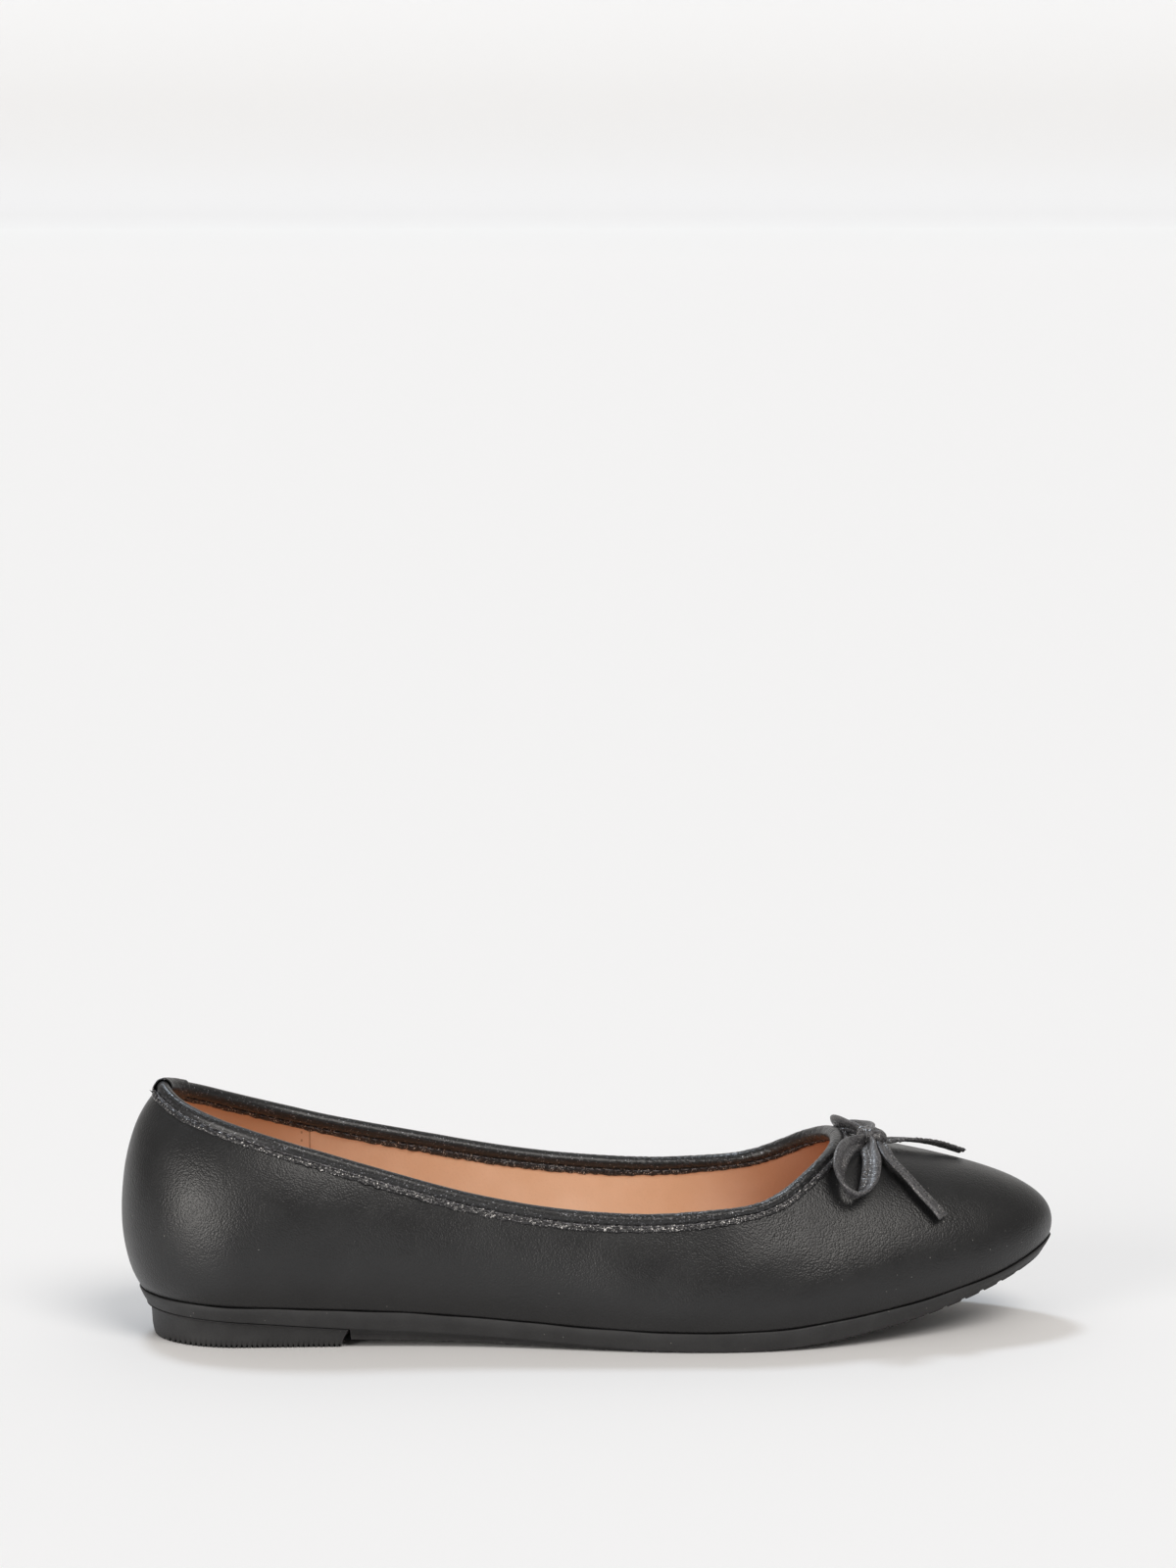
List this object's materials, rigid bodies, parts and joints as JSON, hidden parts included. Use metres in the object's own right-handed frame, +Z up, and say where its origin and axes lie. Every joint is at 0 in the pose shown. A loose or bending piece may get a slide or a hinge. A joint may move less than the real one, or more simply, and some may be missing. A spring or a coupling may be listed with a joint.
{
  "type": "ballet flat",
  "caption": "Low slip-on ballet flat with a closed almond toe, a scooped collar edged by a rolled binding, a small ribbon bow on the vamp and a low block heel.",
  "frame": {"origin": "on the floor under the middle of the shoe's box", "axes": "+X from the heel to the toe, +Y to the inner (medial) side of a right foot, +Z up"},
  "size_m": [0.2499, 0.0797, 0.0676],
  "materials": {
    "upper": "finely grained coated leather, soft sheen",
    "sole": "matte moulded rubber",
    "lining": "smooth matte lining leather",
    "tape": "woven tape with a fine sparkling thread"
  },
  "bodies": {
    "root": {"outsole": "sole", "heel": "sole", "upper": "upper", "insole": "lining", "binding": "tape", "bow_knot": "tape", "bow_loop_lateral": "tape", "bow_loop_medial": "tape", "bow_tail_lateral": "tape", "bow_tail_medial": "tape"}
  },
  "joints": []
}
